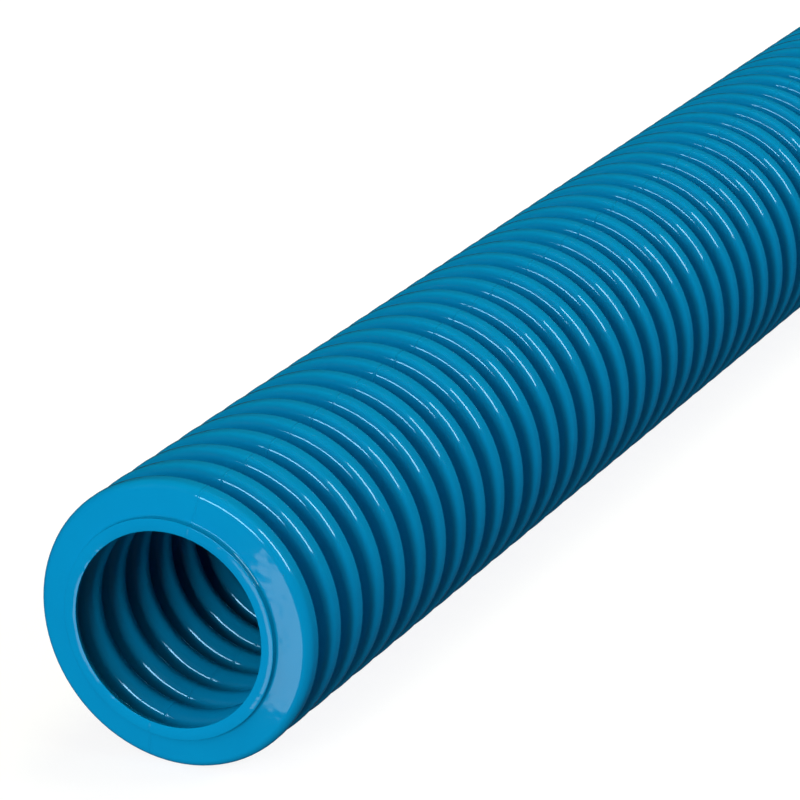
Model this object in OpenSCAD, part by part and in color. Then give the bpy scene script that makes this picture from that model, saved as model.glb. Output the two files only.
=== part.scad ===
// Corrugated conduit: one moulded length of annular-ribbed PVC tube.
// It lies along X with its underside on z = 0 and its middle over the origin. Millimetres.

/* [Length] */
// cut length of the tube, end face to end face
conduit_length = 3048; // [20:1:3048]
// spacing of the corrugations, evened out so that both ends are cut in the middle of a groove
corrugation_pitch = 3.5; // [3.3:0.1:12]

/* [Diameters] */
// outside diameter over the crests
outside_diameter = 21.34; // [18:0.01:30]
// outside diameter at the floor of the grooves between crests
groove_diameter = 16.5; // [15.5:0.01:19.5]
// clear bore through the inner ridges
bore_diameter = 14.61; // [10:0.01:15.8]
// wall thickness at the top of a crest
crest_wall = 0.95; // [0.3:0.01:2.5]

/* [Outer wave] */
// flat along the top of each crest
crest_land = 0.8; // [0.1:0.05:1.8]
// length along the tube of the rounding on each side of a crest
shoulder_run = 0.5; // [0.05:0.05:1]
// depth of that rounding
shoulder_drop = 0.62; // [0.05:0.01:2.3]
// flat along the floor of each groove
groove_land = 0.6; // [0.1:0.05:1.6]

/* [Inner wave] */
// flat along the floor of the channel behind each crest
channel_land = 0.3; // [0.05:0.05:1.2]
// length along the tube of the rounding on each side of an inner ridge
ridge_run = 0.42; // [0.05:0.01:0.85]
// height of that rounding
ridge_rise = 0.68; // [0.05:0.01:2.3]
// flat along the top of each inner ridge
ridge_land = 1.4; // [0.1:0.05:2.3]

/* [Hidden] */
corrugation_count = round(conduit_length / corrugation_pitch);
pitch = conduit_length / corrugation_count;
half = pitch / 2;
crest_r = outside_diameter / 2;
groove_r = groove_diameter / 2;
bore_r = bore_diameter / 2;
channel_r = crest_r - crest_wall;
conduit_blue = [0, 0.43, 0.66];

// half of one wave from the middle of its crest to the middle of a groove, as [radius, distance]
outer_half = [
    [crest_r, crest_land / 2],
    [crest_r - shoulder_drop, crest_land / 2 + shoulder_run],
    [groove_r, half - groove_land / 2]
];
inner_half = [
    [channel_r, channel_land / 2],
    [bore_r + ridge_rise, half - ridge_land / 2 - ridge_run],
    [bore_r, half - ridge_land / 2]
];

function reversed(v) = [for (i = [len(v) - 1:-1:0]) v[i]];
function wave(side, middle) = concat(
    [for (q = reversed(side)) [q[0], middle - q[1]]],
    [for (q = side) [q[0], middle + q[1]]]
);
function waves(side) = [for (i = [0:corrugation_count - 1]) each wave(side, (i + 0.5) * pitch)];

module wall_section() {
    polygon(concat(
        [[bore_r, 0], [groove_r, 0]],
        waves(outer_half),
        [[groove_r, conduit_length], [bore_r, conduit_length]],
        reversed(waves(inner_half))
    ));
}

module conduit() {
    color(conduit_blue)
        translate([-conduit_length / 2, 0, crest_r])
            rotate([0, 90, 0])
                rotate_extrude($fn = 96)
                    wall_section();
}

conduit();
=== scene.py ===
"""Corrugated conduit: a glossy blue moulded tube on a pale studio floor."""

import math

import bmesh
import bpy
from bpy.props import FloatProperty, FloatVectorProperty, IntProperty, PointerProperty
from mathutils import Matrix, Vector


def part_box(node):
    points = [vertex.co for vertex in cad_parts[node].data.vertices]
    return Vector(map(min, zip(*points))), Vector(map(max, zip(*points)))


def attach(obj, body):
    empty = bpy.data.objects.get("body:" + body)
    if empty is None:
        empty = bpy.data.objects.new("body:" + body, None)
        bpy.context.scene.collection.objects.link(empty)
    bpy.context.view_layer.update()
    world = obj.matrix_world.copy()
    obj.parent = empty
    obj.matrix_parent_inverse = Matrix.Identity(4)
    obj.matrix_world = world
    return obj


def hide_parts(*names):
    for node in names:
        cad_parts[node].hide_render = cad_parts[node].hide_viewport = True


bl_info = {
    "name": "Corrugated Conduit",
    "version": (1, 0, 0),
    "blender": (4, 5, 0),
    "location": "View3D > Sidebar > Conduit",
    "description": "Models a length of corrugated conduit and a studio stage for it",
    "category": "Add Mesh",
}

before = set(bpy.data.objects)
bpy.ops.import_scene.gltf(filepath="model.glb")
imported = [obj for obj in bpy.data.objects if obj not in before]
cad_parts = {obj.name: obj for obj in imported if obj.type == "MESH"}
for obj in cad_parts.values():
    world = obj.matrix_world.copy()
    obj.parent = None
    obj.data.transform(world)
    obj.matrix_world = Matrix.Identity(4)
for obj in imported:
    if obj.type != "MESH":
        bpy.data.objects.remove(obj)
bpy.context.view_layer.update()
LOW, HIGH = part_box("conduit")
MERGE = 5e-6  # vertices nearer than this are one

# how finely a stretch is drawn: sides of each ring, and steps on each rounding
FINE = dict(segments=96, crest_steps=6, corner_steps=2, ridge_steps=5)
PLAIN = dict(segments=26, crest_steps=1, corner_steps=1, ridge_steps=1)
NEAR_WAVES = 24  # corrugations in each of the two fine stretches at the near end
FAR_WAVES = 12  # corrugations in the fine stretch at the far end
RUN_PIECES = 4  # plain stretches between them
LIP_SEGMENTS = 2
SMOOTH_BELOW = math.radians(50)  # edges that turn less than this are shaded round
FLAT_WEIGHT = 90  # how far the widest faces rule the shading beside them


class ConduitSizes(bpy.types.PropertyGroup):
    length: FloatProperty(
        name="Length",
        description="Cut length of the tube",
        default=HIGH.x - LOW.x,
        min=0.01,
        unit="LENGTH",
    )
    waves: IntProperty(
        name="Corrugations",
        description="Whole corrugations in the length",
        default=871,
        min=3,
    )
    crest_radius: FloatProperty(
        name="Crest Radius",
        description="Outside radius over the crests",
        default=(HIGH.z - LOW.z) / 2,
        unit="LENGTH",
    )
    groove_radius: FloatProperty(
        name="Groove Radius",
        description="Outside radius at the floor of the grooves",
        default=0.00825,
        unit="LENGTH",
    )
    bore_radius: FloatProperty(
        name="Bore Radius",
        description="Radius over the inner ridges",
        default=0.007305,
        unit="LENGTH",
    )
    channel_radius: FloatProperty(
        name="Channel Radius",
        description="Inside radius behind the crests",
        default=0.00972,
        unit="LENGTH",
    )
    crest_flat: FloatProperty(
        name="Crest Flat",
        description="Half the width of the flat along the top of a crest",
        default=0.00025,
        unit="LENGTH",
    )
    crest_round: FloatProperty(
        name="Crest Rounding",
        description="Radius of the rounding on each side of a crest",
        default=0.0007,
        unit="LENGTH",
    )
    groove_round: FloatProperty(
        name="Groove Corner",
        description="Radius of the corner where a flank meets the groove floor",
        default=0.00018,
        unit="LENGTH",
    )
    groove_flat: FloatProperty(
        name="Groove Flat",
        description="Half the width of the groove floor, corners included",
        default=0.00036,
        unit="LENGTH",
    )
    ridge_round: FloatProperty(
        name="Ridge Rounding",
        description="Radius of the rounding over an inner ridge",
        default=0.0011,
        unit="LENGTH",
    )
    channel_flat: FloatProperty(
        name="Channel Flat",
        description="Half the width of the channel behind a crest",
        default=0.00018,
        unit="LENGTH",
    )
    lip_bevel: FloatProperty(
        name="Lip Bevel",
        description="Rounding of the edges of the cut end",
        default=0.00006,
        unit="LENGTH",
    )


class ConduitFinish(bpy.types.PropertyGroup):
    blue: FloatVectorProperty(
        name="Blue",
        description="Colour of the moulded PVC",
        default=(0.0006, 0.22, 0.435),
        subtype="COLOR",
        min=0,
        max=1,
    )
    deep_blue: FloatVectorProperty(
        name="Deep Blue",
        description="Colour of the darker swirls in the PVC",
        default=(0.0006, 0.195, 0.4),
        subtype="COLOR",
        min=0,
        max=1,
    )
    parting_angle: FloatProperty(
        name="Parting Angle",
        description="Turn of the mould parting line from the top",
        default=math.radians(-12.2),
        subtype="ANGLE",
    )
    parting_width: FloatProperty(
        name="Parting Width",
        description="Half the width of the mould parting line",
        default=0.00012,
        min=0,
        unit="LENGTH",
    )
    saw_angle: FloatProperty(
        name="Saw Angle",
        description="Turn of the saw strokes on the cut ends",
        default=math.radians(25),
        subtype="ANGLE",
    )
    least_roughness: FloatProperty(
        name="Least Roughness",
        description="Roughness where the PVC is glossiest",
        default=0.05,
        min=0,
        max=1,
    )
    most_roughness: FloatProperty(
        name="Most Roughness",
        description="Roughness where the PVC is dullest",
        default=0.1,
        min=0,
        max=1,
    )
    relief_depth: FloatProperty(
        name="Relief Depth",
        description="Height that the bump stands for where it is at one",
        default=0.00005,
        min=0,
        unit="LENGTH",
    )


class StageSettings(bpy.types.PropertyGroup):
    floor_size: FloatProperty(
        name="Floor Size",
        description="Side of the square floor",
        default=80.0,
        unit="LENGTH",
    )
    floor_colour: FloatVectorProperty(
        name="Floor Colour",
        description="Colour of the floor",
        default=(0.2, 0.2, 0.2),
        subtype="COLOR",
        min=0,
        max=1,
    )
    floor_glow: FloatProperty(
        name="Floor Glow",
        description="Light that the floor gives off, which lifts its shadows",
        default=0.85,
        min=0,
    )
    sky_strength: FloatProperty(
        name="Sky Strength",
        description="Strength of the even light from above",
        default=0.022,
        min=0,
    )
    ground_strength: FloatProperty(
        name="Ground Strength",
        description="Strength of the even light from below",
        default=0.21,
        min=0,
    )
    mirrored_sky: FloatProperty(
        name="Mirrored Sky",
        description="Strength of the even light where a glossy surface mirrors it",
        default=0.015,
        min=0,
    )


# ---- mesh helpers -----------------------------------------------------------


def edit(obj):
    """Puts one object alone in edit mode with nothing selected."""
    leave_edit()
    obj.select_set(True)
    bpy.context.view_layer.objects.active = obj
    bpy.ops.object.mode_set(mode="EDIT")
    bpy.ops.mesh.select_all(action="DESELECT")


def leave_edit():
    """Back to object mode with nothing selected."""
    if bpy.context.object and bpy.context.object.mode != "OBJECT":
        bpy.ops.object.mode_set(mode="OBJECT")
    bpy.ops.object.select_all(action="DESELECT")


def pick_edges(obj, wanted):
    """Selects, in edit mode, just the edges whose two ends pass a test of their places."""
    bpy.ops.mesh.select_mode(type="EDGE")
    bpy.ops.mesh.select_all(action="DESELECT")
    mesh = bmesh.from_edit_mesh(obj.data)
    for edge in mesh.edges:
        if wanted(*(v.co for v in edge.verts)):
            edge.select_set(True)
    bmesh.update_edit_mesh(obj.data)


def apply_modifier(obj, kind, name, **values):
    """Adds a modifier, sets it and applies it."""
    leave_edit()
    obj.select_set(True)
    bpy.context.view_layer.objects.active = obj
    modifier = obj.modifiers.new(name, kind)
    for key, value in values.items():
        setattr(modifier, key, value)
    bpy.ops.object.modifier_apply(modifier=modifier.name)


def place_in_mesh(obj):
    """Moves the object's place into its mesh, so that it sits at the origin."""
    leave_edit()
    obj.select_set(True)
    bpy.context.view_layer.objects.active = obj
    bpy.ops.object.transform_apply(location=True, rotation=True, scale=True)


# ---- the wave ---------------------------------------------------------------


def arc(centre_x, centre_r, radius, start, stop, steps):
    """Points (x, r) on an arc; angles in radians from the outward direction towards +X."""
    return [
        (
            centre_x + radius * math.sin(start + (stop - start) * i / steps),
            centre_r + radius * math.cos(start + (stop - start) * i / steps),
        )
        for i in range(steps + 1)
    ]


def flank_turn(run, drop, inner_round, outer_round):
    """Lean of a straight flank that is tangent to both roundings."""
    reach = math.hypot(run, drop)
    return math.atan2(run, drop) - math.asin((inner_round + outer_round) / reach)


def outer_wave(s, pitch, crest_steps, corner_steps):
    """One outer wave from groove middle to groove middle, as (x, r)."""
    shoulder_x = pitch / 2 - s.crest_flat
    shoulder_r = s.crest_radius - s.crest_round
    corner_x = s.groove_flat
    corner_r = s.groove_radius + s.groove_round
    lean = flank_turn(
        shoulder_x - corner_x, shoulder_r - corner_r, s.groove_round, s.crest_round
    )
    turn = math.pi / 2 - lean
    up = [
        *arc(corner_x, corner_r, s.groove_round, math.pi, math.pi - turn, corner_steps),
        *arc(shoulder_x, shoulder_r, s.crest_round, -turn, 0, crest_steps),
    ]
    down = [(pitch - x, r) for x, r in reversed(up)]
    return [(0.0, s.groove_radius), *up, *down, (pitch, s.groove_radius)]


def inner_wave(s, pitch, ridge_steps):
    """One inner wave from ridge middle to ridge middle, as (x, r)."""
    half = pitch / 2
    ridge_r = s.bore_radius + s.ridge_round
    drop = s.channel_radius - ridge_r
    flat = s.channel_flat
    lean = flank_turn(half - flat, drop, s.ridge_round, 0.0)
    turn = math.pi / 2 - lean
    up = arc(0.0, ridge_r, s.ridge_round, math.pi, math.pi - turn, ridge_steps)
    down = [(pitch - x, r) for x, r in reversed(up)]
    return [*up, (half - flat, s.channel_radius), (half + flat, s.channel_radius), *down]


def turned_sheet(name, rings, segments, turn, start_x, axis_z):
    """Draws a ring out along a wave, by an extrude and a scale for each step."""
    leave_edit()
    x, r = rings[0]
    bpy.ops.mesh.primitive_circle_add(
        vertices=segments,
        radius=r,
        fill_type="NOTHING",
        location=(start_x + x, 0, axis_z),
        rotation=(0, math.pi / 2, 0),
    )
    sheet = bpy.context.object
    sheet.name = name
    bpy.ops.object.transform_apply(location=False, rotation=True, scale=False)
    sheet.rotation_euler.x = -turn
    place_in_mesh(sheet)
    edit(sheet)
    bpy.ops.mesh.select_mode(type="EDGE")
    bpy.ops.mesh.select_all(action="SELECT")
    for next_x, next_r in rings[1:]:
        bpy.ops.mesh.extrude_region_move(
            TRANSFORM_OT_translate={"value": (next_x - x, 0, 0)}
        )
        bpy.ops.transform.resize(
            value=(1, next_r / r, next_r / r),
            center_override=(start_x + next_x, 0, axis_z),
        )
        x, r = next_x, next_r
    leave_edit()
    return sheet


def stretch_of_tube(name, first, count, segments, crest_steps, corner_steps, ridge_steps):
    """A stretch of the tube, closed at both ends across the wall."""
    s = bpy.context.scene.conduit_sizes
    finish = bpy.context.scene.conduit_finish
    pitch = s.length / s.waves
    start = LOW.x + first * pitch
    axis_z = LOW.z + s.crest_radius
    sheets = []
    for part, rings in (
        ("outer", outer_wave(s, pitch, crest_steps, corner_steps)),
        ("inner", inner_wave(s, pitch, ridge_steps)),
    ):
        sheet = turned_sheet(
            f"{name}_{part}", rings, segments, finish.parting_angle, start, axis_z
        )
        apply_modifier(
            sheet,
            "ARRAY",
            "Waves",
            count=count,
            use_relative_offset=False,
            use_constant_offset=True,
            constant_offset_displace=(pitch, 0, 0),
            use_merge_vertices=True,
            merge_threshold=MERGE,
        )
        sheets.append(sheet)
    leave_edit()
    for sheet in sheets:
        sheet.select_set(True)
    bpy.context.view_layer.objects.active = sheets[0]
    bpy.ops.object.join()
    tube = bpy.context.object
    tube.name = tube.data.name = name
    edit(tube)
    wall = s.groove_radius / s.bore_radius
    for end in (start, start + count * pitch):
        pick_edges(
            tube,
            lambda a, b: max(abs(a.x - end), abs(b.x - end)) < MERGE
            and max(off_axis(a), off_axis(b)) < s.bore_radius + MERGE,
        )
        bpy.ops.mesh.extrude_region_move()
        bpy.ops.transform.resize(value=(1, wall, wall), center_override=(end, 0, axis_z))
    bpy.ops.mesh.select_all(action="SELECT")
    bpy.ops.mesh.remove_doubles(threshold=MERGE)
    bpy.ops.mesh.normals_make_consistent(inside=False)
    leave_edit()
    return tube


def off_axis(place):
    """Distance of a place from the tube's axis."""
    crest_radius = bpy.context.scene.conduit_sizes.crest_radius
    return math.hypot(place.y, place.z - LOW.z - crest_radius)


def round_cut_end(tube, end_x):
    """Breaks the sharp edges of the sawn end."""
    edit(tube)
    pick_edges(
        tube,
        lambda a, b: max(abs(a.x - end_x), abs(b.x - end_x)) < MERGE
        and abs(off_axis(a) - off_axis(b)) < MERGE,
    )
    bpy.ops.mesh.bevel(
        offset=bpy.context.scene.conduit_sizes.lip_bevel,
        segments=LIP_SEGMENTS,
        affect="EDGES",
    )
    leave_edit()


def smooth(obj):
    """Shades the roundings smooth and keeps the flanks flat."""
    leave_edit()
    obj.select_set(True)
    bpy.context.view_layer.objects.active = obj
    bpy.ops.object.shade_smooth_by_angle(angle=SMOOTH_BELOW)
    apply_modifier(
        obj, "WEIGHTED_NORMAL", "Flat Flanks", weight=FLAT_WEIGHT, keep_sharp=True
    )
    leave_edit()


# ---- materials --------------------------------------------------------------


SWIRL_SCALE = 260  # noise cells to a metre, here and below
GLOSS_SCALE = 700
UNEVEN_SCALE = 450
SAW_SCALE = 2600
TORN_SCALE = 190
SAW_STROKE = (1, 0.12, 1)  # squeezes the saw's noise into long strokes
UNEVEN_HEIGHT = 1.5  # heights are shares of the relief depth
SAW_HEIGHT = 0.5
TORN_HEIGHT = 6.0
BUMP_STRENGTH = 0.6
PVC_IOR = 1.53
FLOOR_ROUGHNESS = 0.85
WHITE = (1, 1, 1)


def math_node(nodes, links, operation, *values):
    """Adds a Math node on numbers or sockets and gives its result."""
    node = nodes.new("ShaderNodeMath")
    node.operation = operation
    for socket, value in zip(node.inputs, values):
        if isinstance(value, (int, float)):
            socket.default_value = value
        else:
            links.new(value, socket)
    return node.outputs[0]


def noise(nodes, links, place, scale, detail):
    """Adds a noise pattern on a place and gives its strength."""
    node = nodes.new("ShaderNodeTexNoise")
    node.inputs["Scale"].default_value = scale
    node.inputs["Detail"].default_value = detail
    links.new(place, node.inputs["Vector"])
    return node.outputs["Fac"]


def ramp(nodes, links, value, start, stop, low, high, kind="LINEAR"):
    """Adds a Map Range node and gives its result."""
    node = nodes.new("ShaderNodeMapRange")
    node.interpolation_type = kind
    node.inputs["From Min"].default_value = start
    node.inputs["From Max"].default_value = stop
    node.inputs["To Min"].default_value = low
    node.inputs["To Max"].default_value = high
    links.new(value, node.inputs["Value"])
    return node.outputs["Result"]


def parting_line(nodes, links, parts):
    """A narrow ridge where the two halves of the mould met."""
    s = bpy.context.scene.conduit_sizes
    finish = bpy.context.scene.conduit_finish
    up = math_node(nodes, links, "SUBTRACT", parts["Z"], LOW.z + s.crest_radius)
    turn = finish.parting_angle
    across = math_node(
        nodes,
        links,
        "SUBTRACT",
        math_node(nodes, links, "MULTIPLY", parts["Y"], math.cos(turn)),
        math_node(nodes, links, "MULTIPLY", up, math.sin(turn)),
    )
    distance = math_node(nodes, links, "ABSOLUTE", across)
    return ramp(nodes, links, distance, 0, finish.parting_width, 1, 0, "SMOOTHSTEP")


def cut_marks(nodes, links, place, parts):
    """Saw strokes and tearing, on the two cut ends only."""
    s = bpy.context.scene.conduit_sizes
    finish = bpy.context.scene.conduit_finish
    along = math_node(nodes, links, "ABSOLUTE", parts["X"])
    from_end = math_node(nodes, links, "SUBTRACT", s.length / 2, along)
    on_cut = ramp(nodes, links, from_end, s.lip_bevel * 2, s.lip_bevel, 0, 1)
    stroke = nodes.new("ShaderNodeMapping")
    stroke.inputs["Rotation"].default_value = (finish.saw_angle, 0, 0)
    stroke.inputs["Scale"].default_value = SAW_STROKE
    links.new(place, stroke.inputs["Vector"])
    saw = noise(nodes, links, stroke.outputs["Vector"], SAW_SCALE, detail=2)
    torn = noise(nodes, links, place, TORN_SCALE, detail=2)
    marks = math_node(
        nodes,
        links,
        "ADD",
        math_node(nodes, links, "MULTIPLY", saw, SAW_HEIGHT),
        math_node(nodes, links, "MULTIPLY", torn, TORN_HEIGHT),
    )
    return math_node(nodes, links, "MULTIPLY", on_cut, marks)


def pvc_material():
    """Glossy PVC with faint swirls, an uneven gloss, a parting line and saw marks."""
    finish = bpy.context.scene.conduit_finish
    material = bpy.data.materials.new("pvc_blue_moulded")
    material.use_nodes = True
    nodes, links = material.node_tree.nodes, material.node_tree.links
    shader = nodes["Principled BSDF"]
    shader.inputs["IOR"].default_value = PVC_IOR
    place = nodes.new("ShaderNodeTexCoord").outputs["Object"]

    tint = nodes.new("ShaderNodeMix")
    tint.data_type = "RGBA"
    tint.inputs["A"].default_value = (*finish.blue, 1)
    tint.inputs["B"].default_value = (*finish.deep_blue, 1)
    swirl = noise(nodes, links, place, SWIRL_SCALE, detail=3)
    links.new(swirl, tint.inputs["Factor"])
    links.new(tint.outputs["Result"], shader.inputs["Base Color"])

    gloss = noise(nodes, links, place, GLOSS_SCALE, detail=4)
    spread = ramp(nodes, links, gloss, 0, 1, finish.least_roughness, finish.most_roughness)
    links.new(spread, shader.inputs["Roughness"])

    split = nodes.new("ShaderNodeSeparateXYZ")
    links.new(place, split.inputs[0])
    uneven = noise(nodes, links, place, UNEVEN_SCALE, detail=2)
    height = math_node(
        nodes,
        links,
        "ADD",
        math_node(nodes, links, "MULTIPLY", uneven, UNEVEN_HEIGHT),
        math_node(
            nodes,
            links,
            "ADD",
            parting_line(nodes, links, split.outputs),
            cut_marks(nodes, links, place, split.outputs),
        ),
    )
    bump = nodes.new("ShaderNodeBump")
    bump.inputs["Strength"].default_value = BUMP_STRENGTH
    bump.inputs["Distance"].default_value = finish.relief_depth
    links.new(height, bump.inputs["Height"])
    links.new(bump.outputs["Normal"], shader.inputs["Normal"])
    return material


def floor_material():
    """Pale floor that takes a faint shadow."""
    stage = bpy.context.scene.conduit_stage
    material = bpy.data.materials.new("pale_floor")
    material.use_nodes = True
    shader = material.node_tree.nodes["Principled BSDF"]
    shader.inputs["Base Color"].default_value = (*stage.floor_colour, 1)
    shader.inputs["Roughness"].default_value = FLOOR_ROUGHNESS
    shader.inputs["Emission Color"].default_value = (*WHITE, 1)
    shader.inputs["Emission Strength"].default_value = stage.floor_glow
    return material


# ---- operators --------------------------------------------------------------


def tube_stretches():
    """Name, first corrugation, number of corrugations and fineness of each stretch."""
    waves = bpy.context.scene.conduit_sizes.waves
    yield "tube_near_end", 0, NEAR_WAVES, FINE
    yield "tube_near", NEAR_WAVES, NEAR_WAVES, FINE
    at = 2 * NEAR_WAVES
    each, spare = divmod(waves - at - FAR_WAVES, RUN_PIECES)
    for i in range(RUN_PIECES):
        count = each + (i < spare)
        yield f"tube_run_{i + 1}", at, count, PLAIN
        at += count
    yield "tube_far_end", at, FAR_WAVES, FINE


class ConduitTube(bpy.types.Operator):
    """Model the tube in stretches that meet in the grooves"""

    bl_idname = "mesh.conduit_tube"
    bl_label = "Corrugated Tube"
    bl_options = {"REGISTER", "UNDO"}

    def execute(self, context):
        pvc = pvc_material()
        for name, first, count, detail in tube_stretches():
            tube = stretch_of_tube(name, first, count, **detail)
            if name == "tube_near_end":
                round_cut_end(tube, LOW.x)
            if name == "tube_far_end":
                round_cut_end(tube, HIGH.x)
            smooth(tube)
            tube.data.materials.clear()
            tube.data.materials.append(pvc)
            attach(tube, "root")
            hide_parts("conduit")
        return {"FINISHED"}


COOL = (0.9, 0.88, 1)
WARM = (1, 1, 0.6)
ICE = (0.34, 0.72, 1)
PALE_BLUE = (0.55, 0.86, 1)
SOFT_LIGHTS = (  # name, azimuth and elevation that it comes from, softness, strength, tint
    ("front_low", 180, 0, 12, 1.85, WHITE),
    ("front", 180, 20, 20, 1.5, WHITE),
    ("front_high", -165, 42, 30, 0.36, WHITE),
    ("left", 135, 35, 30, 0.7, COOL),
    ("right_low", -60, 30, 30, 2.2, COOL),
    ("right_high", -90, 70, 30, 0.52, WARM),
    ("back_high", 0, 60, 30, 1.25, WARM),
)

STRIP_LIGHTS = (  # name, azimuth, elevation, distance, shape, size, power, tint
    ("strip_left", 177, 21, 0.6, "RECTANGLE", (0.31, 0.1), 1.7, ICE),
    ("strip_right", -85, 42, 1.5, "RECTANGLE", (0.4, 0.8), 12.5, PALE_BLUE),
    ("low_card", 168.5, -21.5, 0.5, "ELLIPSE", (0.13, 0.22), 0.11, WHITE),
)
SOFT_LIGHT_DISTANCE = 3  # only for show: such a light is the same from any distance
HORIZON = 0.05  # half the height over which the sky turns into the ground
CAMERA_FROM_END = Vector((-0.23978, -0.13155, 0.12594))  # from under the near end
CAMERA_TURN = tuple(map(math.radians, (70.2106, 0, -64.6402)))
CAMERA_LENS = 191.47  # millimetres
CAMERA_SENSOR = 36  # millimetres
CAMERA_CLIP = 0.01, 200


def direction(azimuth, elevation):
    """Unit vector towards an angle around from +X and one up from the floor."""
    a, e = math.radians(azimuth), math.radians(elevation)
    return Vector((math.cos(e) * math.cos(a), math.cos(e) * math.sin(a), math.sin(e)))


def soft_light(name, azimuth, elevation, softness, strength, tint):
    """An even light along the whole tube, which no glossy surface mirrors."""
    out = direction(azimuth, elevation)
    bpy.ops.object.light_add(type="SUN", location=out * SOFT_LIGHT_DISTANCE)
    light = bpy.context.object
    light.name = name
    light.rotation_euler = out.to_track_quat("Z", "Y").to_euler()
    light.data.angle = math.radians(softness)
    light.data.energy = strength
    light.data.color = tint
    light.visible_glossy = False


def strip_light(target, name, azimuth, elevation, distance, shape, size, power, tint):
    """A card of light that shows only as a streak or a patch on glossy surfaces."""
    out = direction(azimuth, elevation)
    bpy.ops.object.light_add(type="AREA", location=target + out * distance)
    light = bpy.context.object
    light.name = name
    light.rotation_euler = out.to_track_quat("Z", "Y").to_euler()
    light.data.shape = shape
    light.data.size, light.data.size_y = size
    light.data.energy = power
    light.data.color = tint
    light.visible_diffuse = False


def studio_world(scene):
    """White behind the object, and dim even light from above and below on it."""
    stage = scene.conduit_stage
    scene.world = bpy.data.worlds.new("studio")
    scene.world.use_nodes = True
    nodes, links = scene.world.node_tree.nodes, scene.world.node_tree.links
    sky = nodes["Background"]
    sky.inputs["Color"].default_value = (*WHITE, 1)
    rays = nodes.new("ShaderNodeLightPath").outputs
    heading = nodes.new("ShaderNodeSeparateXYZ")
    links.new(nodes.new("ShaderNodeTexCoord").outputs["Generated"], heading.inputs[0])
    strength = ramp(
        nodes,
        links,
        heading.outputs["Z"],
        -HORIZON,
        HORIZON,
        stage.ground_strength,
        stage.sky_strength,
    )
    for ray, seen in (("Is Camera Ray", 1.0), ("Is Glossy Ray", stage.mirrored_sky)):
        choice = nodes.new("ShaderNodeMix")
        links.new(rays[ray], choice.inputs["Factor"])
        links.new(strength, choice.inputs["A"])
        choice.inputs["B"].default_value = seen
        strength = choice.outputs["Result"]
    links.new(strength, sky.inputs["Strength"])


class ConduitStage(bpy.types.Operator):
    """Lay a pale floor and set the studio lights and the camera"""

    bl_idname = "scene.conduit_stage"
    bl_label = "Studio Stage"
    bl_options = {"REGISTER", "UNDO"}

    def execute(self, context):
        s = context.scene.conduit_sizes
        stage = context.scene.conduit_stage
        leave_edit()
        bpy.ops.mesh.primitive_plane_add(size=stage.floor_size, location=(0, 0, LOW.z))
        floor = context.object
        floor.name = "floor"
        place_in_mesh(floor)
        floor.data.materials.append(floor_material())
        floor.visible_diffuse = floor.visible_glossy = floor.visible_shadow = False

        studio_world(context.scene)
        for light in SOFT_LIGHTS:
            soft_light(*light)
        near_end = Vector((LOW.x, 0, LOW.z + s.crest_radius))
        for light in STRIP_LIGHTS:
            strip_light(near_end, *light)

        bpy.ops.object.camera_add(
            location=Vector((LOW.x, 0, LOW.z)) + CAMERA_FROM_END,
            rotation=CAMERA_TURN,
        )
        camera = context.object
        camera.data.lens = CAMERA_LENS
        camera.data.sensor_width = CAMERA_SENSOR
        camera.data.clip_start, camera.data.clip_end = CAMERA_CLIP
        context.scene.camera = camera
        context.scene.view_settings.view_transform = "Standard"
        return {"FINISHED"}


class ConduitPanel(bpy.types.Panel):
    bl_idname = "VIEW3D_PT_conduit"
    bl_label = "Corrugated Conduit"
    bl_space_type = "VIEW_3D"
    bl_region_type = "UI"
    bl_category = "Conduit"

    def draw(self, context):
        layout = self.layout
        for group in (
            context.scene.conduit_sizes,
            context.scene.conduit_finish,
            context.scene.conduit_stage,
        ):
            box = layout.box()
            for key in group.__annotations__:
                box.prop(group, key)
        for operator in (ConduitTube, ConduitStage):
            layout.operator(operator.bl_idname)


CLASSES = (
    ConduitSizes,
    ConduitFinish,
    StageSettings,
    ConduitTube,
    ConduitStage,
    ConduitPanel,
)


def register():
    for cls in CLASSES:
        bpy.utils.register_class(cls)
    bpy.types.Scene.conduit_sizes = PointerProperty(type=ConduitSizes)
    bpy.types.Scene.conduit_finish = PointerProperty(type=ConduitFinish)
    bpy.types.Scene.conduit_stage = PointerProperty(type=StageSettings)


def unregister():
    del bpy.types.Scene.conduit_stage
    del bpy.types.Scene.conduit_finish
    del bpy.types.Scene.conduit_sizes
    for cls in reversed(CLASSES):
        bpy.utils.unregister_class(cls)


def main():
    register()
    bpy.ops.mesh.conduit_tube()
    bpy.ops.scene.conduit_stage()


if __name__ == "__main__":
    main()
